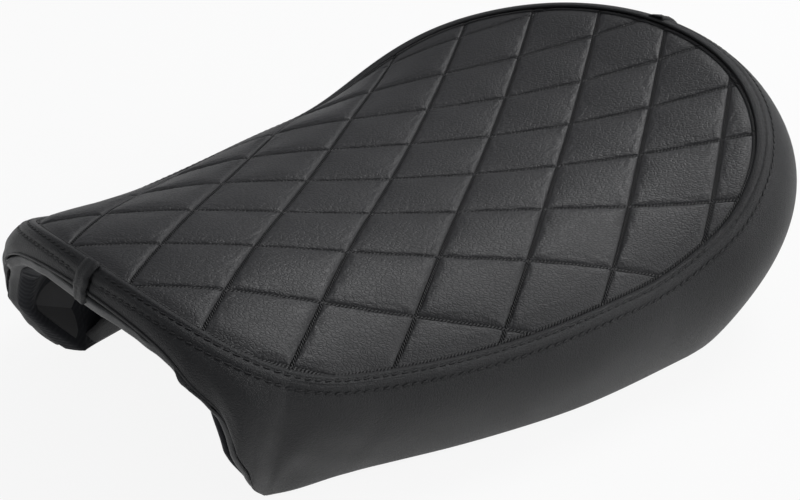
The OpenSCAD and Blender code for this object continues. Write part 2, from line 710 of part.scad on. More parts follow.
// Rubber buffer with a groove round its middle, and a stem in the pan's boss
module buffer(x, s) {
    h = buffer_face_depth - buffer_fix_depth;
    r = buffer_d / 2;
    stem_r = (stem_d - slip) / 2;
    stem_top = h + stem_l - 0.5;
    color("#161616") placed() translate([x, s * buffer_span / 2, -buffer_face_depth])
        rotate_extrude($fn = 64) polygon([[0, 0], [r - 2, 0], [r, 2], [r, h * 0.35],
            [r - 1.5, h * 0.5], [r, h * 0.65], [r, h - 1], [r - 1, h], [stem_r, h],
            [stem_r, stem_top - 1.5], [stem_r - 1.5, stem_top], [0, stem_top]]);
}
module buffer_front_left() {
    buffer(front_buffer_x, 1);
}
module buffer_front_right() {
    buffer(front_buffer_x, -1);
}
module buffer_rear_left() {
    buffer(-rear_buffer_x, 1);
}
module buffer_rear_right() {
    buffer(-rear_buffer_x, -1);
}

quilted_panel();
band_left();
band_right();
front_seam_fold();
rear_seam_fold();
foam_core();
seat_pan();
front_facing();
arch_lining();
hem_rivets();
front_tongue();
rear_bracket_left();
rear_bracket_right();
rear_nut_left();
rear_nut_right();
bracket_bolts();
bracket_washers();
pan_inserts();
buffer_front_left();
buffer_front_right();
buffer_rear_left();
buffer_rear_right();
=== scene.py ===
"""A solo motorcycle seat: moulded pan, foam core, and a sewn cover of one quilted panel and two
side bands. Lengths are worked out in millimetres from the lowest point of the saddle's top, with
X forward, Y to the rider's left and Z up, and at() turns them into metres in the seat's frame."""
import math

import bpy
import numpy as np
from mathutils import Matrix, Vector


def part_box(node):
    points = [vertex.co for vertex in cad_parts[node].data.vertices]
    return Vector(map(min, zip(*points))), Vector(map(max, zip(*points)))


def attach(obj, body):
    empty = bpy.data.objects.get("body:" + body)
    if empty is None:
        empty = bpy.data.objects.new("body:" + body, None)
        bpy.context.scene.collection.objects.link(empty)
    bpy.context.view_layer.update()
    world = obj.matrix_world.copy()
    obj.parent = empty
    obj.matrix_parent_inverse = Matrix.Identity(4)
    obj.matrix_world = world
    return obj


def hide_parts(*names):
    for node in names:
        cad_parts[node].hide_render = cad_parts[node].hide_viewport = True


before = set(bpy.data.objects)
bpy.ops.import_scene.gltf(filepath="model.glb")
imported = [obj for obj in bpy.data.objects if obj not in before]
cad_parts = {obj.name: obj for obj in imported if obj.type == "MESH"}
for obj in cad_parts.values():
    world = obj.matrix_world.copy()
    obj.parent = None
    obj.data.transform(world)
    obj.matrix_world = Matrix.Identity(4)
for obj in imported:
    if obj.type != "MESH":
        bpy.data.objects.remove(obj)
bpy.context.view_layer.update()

# ---------------------------------------------------------------- seat pan and its rivets
# The pan is moulded in black plastic with a spark-eroded skin, a little paler where the mould
# drags. Blind rivets with aluminium heads hold the cover's hem to its skirt.


def group(name, outputs):
    """A shader node group with a Vector input, and the named outputs. Returns the group, its
    nodes for input and output, and a function that adds an input with a value."""
    g = bpy.data.node_groups.new(name, "ShaderNodeTree")
    g.interface.new_socket("Vector", in_out="INPUT", socket_type="NodeSocketVector")
    for out in outputs:
        g.interface.new_socket(out, in_out="OUTPUT", socket_type="NodeSocketFloat")

    def add_input(socket, value):
        s = g.interface.new_socket(socket, in_out="INPUT", socket_type="NodeSocketFloat")
        s.default_value = value

    return g, g.nodes.new("NodeGroupInput"), g.nodes.new("NodeGroupOutput"), add_input


def node(tree, kind, links=(), **values):
    """A new node of a tree. links are (input, source socket) pairs, and values set its
    properties where it has one of that name, or else its inputs' values."""
    n = tree.nodes.new("ShaderNode" + kind)
    for key, value in values.items():
        if hasattr(n, key):
            setattr(n, key, value)
        else:
            n.inputs[key.replace("_", " ")].default_value = value
    for key, source in links:
        tree.links.new(source, n.inputs[key])
    return n


def patina_group():
    """Slow mottling: two sizes of noise, added, as a value near 0.5."""
    g, inp, out, add = group("patina", ["Value"])
    add("Scale", 12.0)
    coarse = node(g, "TexNoise", [("Vector", inp.outputs["Vector"]), ("Scale", inp.outputs["Scale"])], Detail=3.0)
    five = node(g, "Math", [(0, inp.outputs["Scale"])], operation="MULTIPLY")
    five.inputs[1].default_value = 5.3
    fine = node(g, "TexNoise", [("Vector", inp.outputs["Vector"]), ("Scale", five.outputs[0])], Detail=2.0)
    mix = node(g, "Mix", [("A", coarse.outputs["Fac"]), ("B", fine.outputs["Fac"])], Factor=0.35)
    g.links.new(mix.outputs["Result"], out.inputs["Value"])
    return g


def grain_group():
    """Leather grain: rounded pebbles parted by creases, the distance to the edge of Voronoi cells
    on a point field bent by noise, with a second, finer set of cells and shallow wrinkles."""
    g, inp, out, add = group("leather_grain", ["Height", "Crease"])
    add("Scale", 600.0)
    add("Bend", 0.35)
    add("Fine", 0.3)
    add("Wrinkle", 0.2)
    vec, scale = inp.outputs["Vector"], inp.outputs["Scale"]

    scaled = node(g, "VectorMath", [(0, vec), ("Scale", scale)], operation="SCALE").outputs[0]
    bend = node(g, "TexNoise", [("Vector", scaled)], Scale=0.6, Detail=2.0)
    off = node(g, "VectorMath", [(0, bend.outputs["Color"])], operation="SUBTRACT")
    off.inputs[1].default_value = (0.5, 0.5, 0.5)
    push = node(g, "VectorMath", [(0, off.outputs[0]), ("Scale", inp.outputs["Bend"])], operation="SCALE")
    bent = node(g, "VectorMath", [(0, scaled), (1, push.outputs[0])], operation="ADD").outputs[0]

    def cells(size, edge):
        v = node(g, "TexVoronoi", [("Vector", bent)], feature="DISTANCE_TO_EDGE", Scale=size)
        r = node(g, "MapRange", [("Value", v.outputs["Distance"])], interpolation_type="SMOOTHERSTEP")
        r.inputs["From Max"].default_value = edge
        return r.outputs["Result"]

    big, small = cells(1.0, 0.22), cells(2.3, 0.3)
    folds = node(g, "TexNoise", [("Vector", scaled)], Scale=0.18, Detail=3.0)
    m1 = node(g, "Mix", [("Factor", inp.outputs["Fine"]), ("A", big), ("B", small)])
    m2 = node(g, "Mix", [("Factor", inp.outputs["Wrinkle"]), ("A", m1.outputs["Result"]),
                         ("B", folds.outputs["Fac"])])
    g.links.new(m2.outputs["Result"], out.inputs["Height"])
    # Crease is 1 at the cells' edges. finish() moves the base colour there to its second colour, which is painted shade
    # where that colour is darker.
    crease = node(g, "Math", [(1, m1.outputs["Result"])], operation="SUBTRACT")
    crease.inputs[0].default_value = 1.0
    g.links.new(crease.outputs[0], out.inputs["Crease"])
    return g


GROUPS = {"patina": patina_group(), "grain": grain_group()}
GRAIN_TURN = math.radians(139)  # the way that the covers were drawn on, so that the grain runs long


def blank(name):
    """A new material, with its node tree, its shader and its Object coordinates."""
    mat = bpy.data.materials.new(name)
    mat.use_nodes = True
    t = mat.node_tree
    return mat, t, t.nodes["Principled BSDF"], t.nodes.new("ShaderNodeTexCoord").outputs["Object"]


def placed(t, kind, vector, **values):
    """The outputs of a node group placed in a tree, reading a vector, with values for its inputs."""
    g = t.nodes.new("ShaderNodeGroup")
    g.node_tree = GROUPS[kind]
    t.links.new(vector, g.inputs["Vector"])
    for key, value in values.items():
        g.inputs[key].default_value = value
    return g.outputs


def two_tone(t, bsdf, factor, colour, second):
    """Base Color as a mix that runs from colour to second by a factor."""
    colours = node(t, "Mix", [("Factor", factor)], data_type="RGBA")
    colours.inputs["A"].default_value = (*colour, 1)
    colours.inputs["B"].default_value = (*second, 1)
    t.links.new([s for s in colours.outputs if s.type == "RGBA"][0], bsdf.inputs["Base Color"])


def finish(name, colour, second, rough, spread, bump, depth, scale, metal=0.0, mottle=14.0,
           wrinkle=0.2, fine=0.3, stretch=1.0, **extra):
    """A material with leather or moulded grain in its bump, stretched along a diagonal. The base
    colour runs from colour on the pebbles to second in the grain's creases and in random patches;
    where second is the darker, the darkening in the creases is painted shade. Roughness varies by
    spread about rough. extra sets more of the shader's own inputs."""
    mat, t, bsdf, where = blank(name)
    drawn = node(t, "Mapping", [("Vector", where)], vector_type="TEXTURE")
    drawn.inputs["Rotation"].default_value = (0, 0, GRAIN_TURN)
    drawn.inputs["Scale"].default_value = (stretch, 1, 1)
    grain = placed(t, "grain", drawn.outputs["Vector"], Scale=scale, Bend=0.9, Fine=fine, Wrinkle=wrinkle)
    patch = placed(t, "patina", where, Scale=mottle)
    # tone is half random mottle and half the grain's creases. Where second is darker, the creases are painted shade.
    tone = node(t, "Mix", [("A", patch["Value"]), ("B", grain["Crease"])], Factor=0.5)
    two_tone(t, bsdf, tone.outputs["Result"], colour, second)
    gloss = node(t, "MapRange", [("Value", patch["Value"])], From_Min=0.3, From_Max=0.7,
                 To_Min=rough - spread, To_Max=rough + spread)
    relief = node(t, "Bump", [("Height", grain["Height"])], Strength=bump, Distance=depth)
    t.links.new(gloss.outputs["Result"], bsdf.inputs["Roughness"])
    t.links.new(relief.outputs["Normal"], bsdf.inputs["Normal"])
    bsdf.inputs["Metallic"].default_value = metal
    for key, value in extra.items():
        bsdf.inputs[key.replace("_", " ")].default_value = value
    return mat


def dress(material, *names):
    """Puts a material in every slot of the named CAD nodes."""
    for name in names:
        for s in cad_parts[name].material_slots:
            s.material = material


dress(finish("pan_plastic", (0.022, 0.022, 0.024), (0.013, 0.013, 0.014), 0.55, 0.08, 0.25, 0.0004, 1500.0),
      "seat_pan")
dress(finish("rivet_aluminium", (0.55, 0.56, 0.58), (0.36, 0.37, 0.38), 0.36, 0.08, 0.1, 0.0002, 900.0,
             metal=1.0), "hem_rivets")

# ---------------------------------------------------------------- steelwork and inserts
# The tongue and the brackets are pressed steel plate, powder coated black, with orange peel in
# the coat. The nuts, bolts and washers are zinc plated, and the inserts are turned brass.

dress(finish("coated_steel", (0.034, 0.035, 0.038), (0.024, 0.025, 0.027), 0.42, 0.06, 0.2, 0.0003, 700.0,
             Coat_Weight=0.3, Coat_Roughness=0.25), "front_tongue", "rear_bracket_left", "rear_bracket_right")
dress(finish("zinc_steel", (0.60, 0.61, 0.60), (0.42, 0.43, 0.41), 0.32, 0.09, 0.12, 0.0002, 1100.0, metal=1.0),
      "rear_nut_left", "rear_nut_right", "bracket_bolts", "bracket_washers")
dress(finish("insert_brass", (0.66, 0.50, 0.22), (0.45, 0.33, 0.13), 0.35, 0.08, 0.1, 0.0002, 1300.0, metal=1.0),
      "pan_inserts")

# ---------------------------------------------------------------- rubber buffers
# Four moulded buffers carry the seat on the frame's rails. The rubber is matt, with a grey bloom
# in patches.

dress(finish("buffer_rubber", (0.020, 0.020, 0.020), (0.034, 0.034, 0.033), 0.72, 0.08, 0.3, 0.0004, 900.0),
      "buffer_front_left", "buffer_front_right", "buffer_rear_left", "buffer_rear_right")

# ---------------------------------------------------------------- foam core
# One block of moulded polyurethane foam fills the space between the cover and the pan. It sets
# the form of the whole seat: a flat saddle, a turned-up tail and an arch under the nose.

NUT_BEHIND = 130.0  # nut to the saddle's lowest point
SADDLE_H, NOSE_UP, TAIL_UP = 87.0, 14.0, 41.0  # rim to saddle, and what the spine gains
NOSE_X, TAIL_X, ROUND_X = 198.0, 225.0, 104.0  # ends, and where they begin to round
NOSE_W, TAIL_W = 120.0, 152.0  # half widths
ARCH_W, ARCH_AHEAD, ARCH_BELOW = 109.0, 9.0, 2.0
FLAP_H, FLAP_LEAN, FLAP_CURL, FLAP_SLACK = 38.0, 27.0, 11.0, 6.0
PANEL_T, GAP, COVER_T = 8.0, 0.4, 2.0
PAN_EDGE, PAN_WALL = 14.4, 3.5
HUB = -15.0  # X of the point that rings run out from

nut_lo, nut_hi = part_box("rear_nut_left")
saddle_x = 500 * (nut_lo[0] + nut_hi[0]) + NUT_BEHIND


def at(points):
    """Millimetres from the saddle's lowest point, as metres in the seat's frame."""
    return (np.asarray(points, float) + [saddle_x, 0, SADDLE_H]) / 1000


def ease(t):
    """Smooth step, 3t^2 - 2t^3 from 0 to 1."""
    t = np.clip(t, 0, 1)
    return t * t * (3 - 2 * t)


def unit(v):
    """Vectors brought to length 1."""
    return v / np.maximum(np.linalg.norm(v, axis=-1, keepdims=True), 1e-9)


def side_w(x):
    """Half width of the cover between its rounded ends: it grows from the nose's to the tail's by
    a power curve with a soft start."""
    t = (124 - x) / 228
    s = np.minimum((t + np.sqrt(t * t + 0.0036)) / 2, 1)
    return NOSE_W + (TAIL_W - NOSE_W) * (1 - (1 - s) ** 2.26)


def crown(x):
    """How far the top drops to the seam at x, and the power by which it does."""
    nose = ease((x + 37) / 141)
    return (29 + 6 * nose) * (1 - 0.64 * ease((-x - 44) / 137)), 4.5 - 1.7 * nose


def top(x, y):
    """Height of the top: the spine, up at the nose and the tail, less a crown that falls by a
    power of the distance from the centre line."""
    spine = np.where(x > 0, NOSE_UP * ease(x / NOSE_X), TAIL_UP * (np.maximum(-x, 0) / TAIL_X) ** 2.35)
    drop, power = crown(x)
    return spine - drop * (np.abs(y) / side_w(x)) ** power


def plan(i):
    """The seam in plan at station i: a superellipse round the nose for 0 to 9, the side to 18,
    a quarter ellipse round the tail to 27, and back along the right side to 54."""
    i = np.asarray(i, float) % 54
    right = i > 27
    j = np.where(right, 54 - i, i)
    a = np.radians(np.clip(10 * j, 0, 90))
    nx = ROUND_X + (NOSE_X - ROUND_X) * np.cos(a) ** (2 / 2.8)
    ny = side_w(nx) * np.sin(a) ** (2 / 2.8)
    sx = ROUND_X - 2 * ROUND_X * (j - 9) / 9
    b = np.radians(np.clip(10 * (j - 18), 0, 90))
    tx = -ROUND_X - (TAIL_X - ROUND_X) * np.sin(b)
    ty = TAIL_W * np.maximum(np.cos(b), 0)
    x = np.where(j <= 9, nx, np.where(j <= 18, sx, tx))
    y = np.where(j <= 9, ny, np.where(j <= 18, side_w(sx), ty))
    return x, np.where(right, -y, y)


def outward(i):
    """Outward normal of the seam in plan, from its chord over two stations."""
    i = np.asarray(i, float)
    xa, ya = plan(i + 1)
    xb, yb = plan(i - 1)
    n = np.stack([ya - yb, xb - xa, 0 * xa], -1)
    return unit(n)


def arch(j):
    """The arch's edge, from its top at 0 to the flap's corner at 6: a superellipse across, which
    falls back at the flaps and leans back and in near the rim."""
    a = np.radians(np.clip(15 * j, 0, 90))
    up, out = np.maximum(np.cos(a), 0) ** 0.625, np.sin(a) ** 0.625
    z = (SADDLE_H - ARCH_BELOW) * up
    deep = np.clip(1 - z / FLAP_H, 0, 1)
    return np.stack([NOSE_X + ARCH_AHEAD - 10 * out ** 2 - FLAP_LEAN * deep ** 1.4,
                     ARCH_W * out - FLAP_CURL * deep ** 1.5, z - SADDLE_H], -1)


def rim(j):
    """The rim under station j: the seam moved in, more at the flaps and most round the tail."""
    x, y = plan(j)
    n = outward(j)
    tuck = 2 + 10 * ease((x + 16) / 180) + 20 * np.maximum(-n[..., 0], 0)
    return np.stack([x, y, 0 * x - SADDLE_H], -1) - n * tuck[..., None]


def mirrored(p, i):
    """Points with Y turned round where station i is on the right."""
    p = p.copy()
    p[..., 1] *= np.where(np.asarray(i, float) % 54 > 27, -1, 1)
    return p


def near(i):
    """The station on the left side that mirrors station i."""
    i = np.asarray(i, float) % 54
    return np.where(i > 27, 54 - i, i)


def low(i, drawn=1.0):
    """The cover's lower edge: the arch to the flap's corner, then the rim, which the corner's
    reach leaves over two stations. The flap's front edge is drawn back by a share of its slack."""
    j = near(i)
    corner = arch(np.array(6.0)) - rim(np.array(6.0))
    past = (1 - ease((j - 6) / 2))[..., None]
    slack = FLAP_SLACK * ease((j - 2.8) / 1.2) * ease((6.0 - j) / 0.6) * drawn
    edge = np.where((j <= 6)[..., None], arch(np.minimum(j, 6)), rim(np.maximum(j, 6)) + corner * past)
    return slack[..., None] * [-1, 0, 0] + mirrored(edge, i)


def bulge(i):
    """How far the band bulges at station i: 4 at the nose, 12 at the sides, 31 at the tail."""
    j = near(i)
    return 4 + 8 * ease(j / 6) + 19 * ease((-60 - plan(j)[0]) / 133)


def skin(i, h, inward=0.0):
    """A point a share h down the band from the seam to the lower edge: a straight line between
    them, swollen along the seam's normal, and moved in by a distance."""
    i, h = np.broadcast_arrays(np.asarray(i, float), np.asarray(h, float))
    x, y = plan(i)
    lean = np.radians(70 * np.clip(1 - h / 0.4, 0, 1))
    seam = np.stack([x, y, top(x, y) + 2 * (1 - h)], -1)
    n = outward(i)
    swell = bulge(i) * np.maximum(np.sin(np.pi * h ** 0.68), 0) ** 0.8 - inward * np.cos(lean)
    p = seam * (1 - h[..., None]) + low(i) * h[..., None] + n * swell[..., None]
    p[..., 2] -= inward * np.sin(lean)
    return p


def edge_way(i):
    """Direction in from the lower edge: along the arch's end face at the nose, level at the rim."""
    j = near(i)
    a = np.radians(np.clip(15 * j, 0, 90))
    up, out = np.maximum(np.cos(a), 0) ** 0.625, np.sin(a) ** 0.625
    face = unit(-np.stack([18.3 * (1 - 0.3 * out), 18.3 * out, 10 * up], -1))
    share = ease((j - 5.5) / 1.0)[..., None]
    return mirrored(unit(face * (1 - share) - mirrored(outward(i), i) * share), i)


def under(i, w, up):
    """A point w in from the lower edge and up above it, square to the edge."""
    i, w, up = (np.asarray(a, float) for a in (i, w, up))
    way = edge_way(i)
    run = unit(low(i + 0.3, 0) - low(i - 0.3, 0))
    rise = unit(np.cross(run, way))
    return low(i, np.clip(1 - w / PAN_EDGE, 0, 1)) + way * w[..., None] + rise * up[..., None]


def deck(i, k):
    """A point of the pan's deck, a share k of the way from the hub to its edge, under the padding."""
    x, y = plan(i)
    n = outward(i)
    x, y = HUB + k * (x - PAN_EDGE * n[..., 0] - HUB), k * (y - PAN_EDGE * n[..., 1])
    pad = 17 + 17 * ease((NOSE_X - PAN_EDGE - x) / 120)
    return np.stack([x, y, top(x, y) - pad], -1)


def run_of(p):
    """Length along paths of points, from each path's start to every point on it."""
    step = np.linalg.norm(np.diff(p, axis=-2), axis=-1)
    return np.concatenate([0 * step[..., :1], np.cumsum(step, -1)], -1)


def even(curve, start, stop, step):
    """Stations between start and stop a step of length apart along a curve of stations."""
    fine = np.linspace(start, stop, 6001)
    run = run_of(curve(fine))
    return np.interp(np.linspace(0, run[-1], int(round(run[-1] / step)) + 1), run, fine)


def linked(name, data):
    """A new object in the scene, for a mesh, a lamp or a camera."""
    made = bpy.data.objects.new(name, data)
    bpy.context.scene.collection.objects.link(made)
    return made


def mesh_of(name, points, faces):
    """A mesh from points in metres and a list of faces."""
    mesh = bpy.data.meshes.new(name)
    mesh.from_pydata(points, [], faces)
    mesh.update()
    return mesh


def piece(name, points, faces, material):
    """A smooth mesh piece from points in millimetres and faces, riding on the seat's one body."""
    mesh = mesh_of(name, at(points), faces if isinstance(faces, list) else faces.tolist())
    mesh.polygons.foreach_set("use_smooth", np.full(len(mesh.polygons), True))
    mesh.materials.append(material)
    made = linked(name, mesh)
    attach(made, "root")
    return made


def grid_faces(rows, cols, close_cols=False):
    """Four-sided faces of a grid of points, whose columns may close on themselves."""
    r = np.arange(rows - 1)[:, None]
    c = np.arange(cols if close_cols else cols - 1)[None, :]
    r2, c2 = r + 1, (c + 1) % cols
    return np.stack([r * cols + c, r * cols + c2, r2 * cols + c2, r2 * cols + c], -1).reshape(-1, 4)


def ring_solid(name, rings, material):
    """A closed solid from a stack of rings of equal length, each end closed by its middle point."""
    n = len(rings[0])
    points = np.concatenate([*rings, [rings[0].mean(0)], [rings[-1].mean(0)]])
    faces = grid_faces(len(rings), n, close_cols=True)[:, ::-1].tolist()
    step = np.arange(n)
    end = (len(rings) - 1) * n
    faces += np.stack([0 * step + len(points) - 2, step, (step + 1) % n], -1).tolist()
    faces += np.stack([0 * step + len(points) - 1, end + (step + 1) % n, end + step], -1).tolist()
    return piece(name, points, faces, material)


foam_i = even(lambda s: skin(s, 0 * s), 0, 54, 6.0)[:-1]


def foam_top(k):
    """A ring of the foam's top, a share k out from the hub."""
    x, y = plan(foam_i)
    n = outward(foam_i)
    x, y = HUB + k * (x - 1.2 * n[:, 0] - HUB), k * (y - 1.2 * n[:, 1])
    return np.stack([x, y, top(x, y) - PANEL_T - GAP - 1.5 * ease((k - 0.9) / 0.1)], -1)


def skirt(g):
    """The foam's inner wall along the pan's skirt, a share g down from the deck to the rim."""
    a = deck(foam_i, 1.0) + outward(foam_i) * GAP
    b = under(foam_i, 0 * foam_i + PAN_EDGE - GAP, 0 * foam_i + COVER_T + GAP)
    return a * (1 - g) + b * g + (outward(foam_i) * bulge(foam_i)[:, None] * 0.4 * math.sin(math.pi * g))


foam_mat = finish("moulded_foam", (0.44, 0.35, 0.16), (0.30, 0.23, 0.10), 0.88, 0.06, 0.6, 0.0008, 700.0)
foam_rings = [foam_top(k) for k in (0.12, 0.25, 0.4, 0.55, 0.7, 0.82, 0.9, 0.96, 1.0)]
behind_facing = 2.2 * ease((6.6 - near(foam_i)) / 0.8)
foam_rings += [skin(foam_i, 0 * foam_i + h, 4.4 - 1.8 * h + behind_facing * ease((h - 0.7) / 0.2))
               for h in np.linspace(0.06, 0.96, 14)]
foam_rings += [under(foam_i, 0 * foam_i + w, 0 * foam_i + 3.2) for w in (3.4, 8.0, 13.0)]
foam_rings += [skirt(g) for g in (0.95, 0.7, 0.45, 0.2, 0.0)]
foam_rings += [deck(foam_i, k) + [0, 0, GAP] for k in (0.92, 0.75, 0.55, 0.3, 0.12)]
foam = ring_solid("foam_block", foam_rings, foam_mat)
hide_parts("foam_core")

# ---------------------------------------------------------------- quilted panel
# The top panel is coated fabric with a pebbled grain, sewn through a sheet of backing foam in a
# lattice of diamonds. Each diamond stands up a little between its sunk seams.

QUILT_X, QUILT_S, QUILT_SHIFT = 79.0, 55.3, -0.6
LINE_GAP = 1 / math.hypot(1 / QUILT_X, 1 / QUILT_S)
GROOVE_W, GROOVE_D = 1.05, 1.45
PUFF = 2.0
PANEL_IN = -0.6
CELLS = 7  # diamonds counted either way from the middle one, more than the panel holds


def arc(x, y):
    """Length across the top at x from the centre line out to y: the mean of the slope's length
    over 32 steps, times y."""
    share = (np.arange(32) + 0.5) / 32
    drop, power = crown(x)
    w = side_w(x)
    slope = (drop * power / w)[..., None] * ((np.abs(y) / w)[..., None] * share) ** (power[..., None] - 1)
    return y * np.sqrt(1 + slope ** 2).mean(-1)


def across_to(x, s):
    """The y at which the arc across the top at x is s, by Newton's steps."""
    y = np.clip(0.97 * s, -170, 170)
    for _ in range(7):
        drop, power = crown(x)
        slope = drop * power / side_w(x) * (np.abs(y) / side_w(x)) ** (power - 1)
        y = np.clip(y - (arc(x, y) - s) / np.sqrt(1 + slope ** 2), -170, 170)
    return y


def quilt(x, y):
    """The two counts of quilt lines at a point: whole numbers on a line."""
    s = arc(x, y)
    u = (x - QUILT_SHIFT) / QUILT_X
    return u + s / QUILT_S, u - s / QUILT_S


def to_line(x, y):
    """Distance from a point to the nearest quilt line."""
    p, m = quilt(x, y)
    return np.minimum(np.abs(p - np.round(p)), np.abs(m - np.round(m))) * LINE_GAP


rim_i = np.linspace(0, 54, 4321)
rim_x, rim_y = plan(rim_i)
rim_turn = np.unwrap(np.arctan2(rim_y, rim_x - HUB))
rim_far = np.hypot(rim_x - HUB, rim_y)


def outline_at(x, y):
    """Station of the seam in the direction of a point from the hub, and how far inside it the
    point lies."""
    turn = np.mod(np.arctan2(y, x - HUB), 2 * math.pi)
    return np.interp(turn, rim_turn, rim_i), np.interp(turn, rim_turn, rim_far) - np.hypot(x - HUB, y)


def lattice(offsets):
    """A grid that runs along the quilt's lines, with points at the given distances from every
    line, cut to the panel's outline: a point just outside is drawn in along its radius. Returns
    the counts along one axis, x, y, which points lie inside, and the faces."""
    half = np.asarray(offsets) / LINE_GAP
    t = (np.arange(-CELLS, CELLS)[:, None] + np.concatenate([half, 1 - half[-2:0:-1]])).ravel()
    p, m = np.meshgrid(t, t, indexing="ij")
    x = (p + m) / 2 * QUILT_X + QUILT_SHIFT
    y = across_to(x, (p - m) / 2 * QUILT_S)
    room = outline_at(x, y)[1] - PANEL_IN
    inside = room > 0
    far = np.hypot(x - HUB, y)
    pull = np.where(inside, 1, (far + 0.97 * room) / far)
    kept = inside[:-1, :-1] | inside[1:, :-1] | inside[:-1, 1:] | inside[1:, 1:]
    faces = grid_faces(len(t), len(t))[kept.ravel()]
    return t, HUB + (x - HUB) * pull, y * pull, inside, faces


def puffed(per=12, steps=20, cap=0.007):
    """How far each point of a lattice, per points a diamond's side, swells when Cloth blows it up with
    the quilt lines and the border held. Each diamond's rise is then scaled by its own peak, so that
    a whole one stands PUFF high, and one cut by the border less, by the room in it. cap, in metres,
    holds back a point that the pressure throws."""
    t, x, y, inside, faces = lattice(np.arange(per // 2 + 1) * LINE_GAP / per)
    line, room = to_line(x, y), outline_at(x, y)[1]
    used = np.unique(faces)
    start = at(np.stack([x, y, top(x, y)], -1).reshape(-1, 3)[used])
    mesh = mesh_of("blown", start, np.searchsorted(used, faces).tolist())
    blown = linked("blown", mesh)
    pins = blown.vertex_groups.new(name="seams")
    hold = (line < 0.5) | ~inside
    pins.add(np.flatnonzero(hold.ravel()[used]).tolist(), 1.0, "REPLACE")
    cloth = blown.modifiers.new("cloth", "CLOTH")
    cloth.settings.effector_weights.gravity = 0
    for key, value in {"vertex_group_mass": "seams", "use_pressure": True, "uniform_pressure_force": 9, "mass": 0.2,
                       "tension_stiffness": 6, "compression_stiffness": 6, "quality": 5}.items():
        setattr(cloth.settings, key, value)
    cloth.point_cache.frame_start = 1
    cloth.point_cache.frame_end = steps
    for f in range(1, steps + 1):
        bpy.context.scene.frame_set(f)
    done = blown.evaluated_get(bpy.context.evaluated_depsgraph_get())
    moved = np.empty(len(start) * 3)
    done.data.vertices.foreach_get("co", moved)
    rise = np.zeros(x.size)
    rise[used] = np.clip(moved.reshape(-1, 3)[:, 2] - start[:, 2], 0, cap)
    rise = rise.reshape(x.shape)
    bpy.data.objects.remove(blown)
    bpy.data.meshes.remove(mesh)
    bpy.context.scene.frame_set(1)
    cell = np.floor(t + 0.5 / per).astype(int) + CELLS
    which = cell[:, None] * 2 * CELLS + cell[None, :]
    peak, space = np.zeros((2, 4 * CELLS ** 2))
    np.maximum.at(peak, which, rise)
    np.maximum.at(space, which, np.where(inside, np.minimum(line, room), 0))
    return t, PUFF * (rise / np.maximum(peak, 1e-6)[which]) ** 0.8 * np.clip(space / 20, 0, 1)[which] ** 0.8


def sample(a, rows, cols):
    """Values of a grid at places between its points, by Catmull-Rom's cubic along each axis."""
    for axis, t in ((0, rows), (1, cols)):
        a = np.moveaxis(a, axis, 0)
        k = np.clip(np.floor(t + 1e-6).astype(int), 1, len(a) - 3)
        f = (t - k)[:, None]
        a = (a[k - 1] * (-f + 2 * f ** 2 - f ** 3) + a[k] * (2 - 5 * f ** 2 + 3 * f ** 3)
             + a[k + 1] * (f + 4 * f ** 2 - 3 * f ** 3) + a[k + 2] * (f ** 3 - f ** 2)) / 2
        a = np.moveaxis(a, 0, axis)
    return a


def puckers(x, y):
    """Low folds that the stitching pulls up beside the seams: sine ripples in two directions,
    highest 4 from the seam and faded out by 14."""
    d = to_line(x, y)
    fade = np.exp(-((d - 4) / 5) ** 2)
    p, m = quilt(x, y)
    return 0.12 * fade * (np.sin(p * 61 + 3 * np.sin(m * 7)) + np.sin(m * 57 + 3 * np.sin(p * 9)))


def panel_z(x, y, rise):
    """Height of the panel's upper face: the top, the blown rise, the puckers and the grooves, and
    a dip along the border where the band's lip presses it down."""
    border = outline_at(x, y)[1]
    groove = GROOVE_D * np.exp(-(to_line(x, y) / GROOVE_W) ** 2) * np.clip(border / 4, 0, 1)
    dip = 0.8 * np.exp(-(np.maximum(border, 0) / 4.5) ** 2)
    return top(x, y) + rise * np.clip(border / 9, 0, 1) + puckers(x, y) * np.clip(border / 6, 0, 1) - groove - dip


coarse_t, lift = puffed()
PANEL_STEPS = np.concatenate([[0, 0.35, 0.7, 1.05, 1.45, 1.9, 2.4, 3.1, 4.0, 5.1, 6.4],
                              np.linspace(8, LINE_GAP / 2, 9)])
panel_t, px, py, _, panel_faces = lattice(PANEL_STEPS)
place = (panel_t - coarse_t[0]) / (coarse_t[1] - coarse_t[0])
pz = panel_z(px, py, np.maximum(sample(lift, place, place), 0))
used = np.unique(panel_faces)
panel_top = np.stack([px, py, pz], -1).reshape(-1, 3)[used]
panel_faces = np.searchsorted(used, panel_faces)
sides = np.stack([panel_faces, np.roll(panel_faces, -1, 1)], -1).reshape(-1, 2)
back = sides[:, 1] * len(used) + sides[:, 0]
border = sides[~np.isin(sides[:, 0] * len(used) + sides[:, 1], back)]
edge = np.unique(border)
edge_i = outline_at(panel_top[edge, 0], panel_top[edge, 1])[0]


def panel_ring(k, depth):
    """A ring of the panel's underside, a share k out from the hub and a depth under the top."""
    x = HUB + k * (panel_top[edge, 0] - HUB)
    y = k * panel_top[edge, 1]
    return np.stack([x, y, top(x, y) - depth], -1)


walls = [skin(edge_i, 0 * edge_i + 0.001, 3.3) + outward(edge_i) * w for w in (2.2, 4.0)]
walls += [skin(edge_i, 0 * edge_i + 0.001, 4.4) + outward(edge_i) * w for w in (4.0, 1.0)]
walls += [panel_ring(k, PANEL_T) for k in (0.985, 0.8, 0.6, 0.4, 0.2)]
panel_pts = np.concatenate([panel_top, *walls, [[HUB, 0.0, -PANEL_T]]])
panel_faces = panel_faces.tolist()
ends = np.searchsorted(edge, border)
loops = [border] + [len(panel_top) + len(edge) * k + ends for k in range(len(walls))]
for a, b in zip(loops[:-1], loops[1:]):
    panel_faces += np.stack([a[:, 1], a[:, 0], b[:, 0], b[:, 1]], -1).tolist()
panel_faces += np.stack([b[:, 1], b[:, 0], np.full(len(b), len(panel_pts) - 1)], -1).tolist()

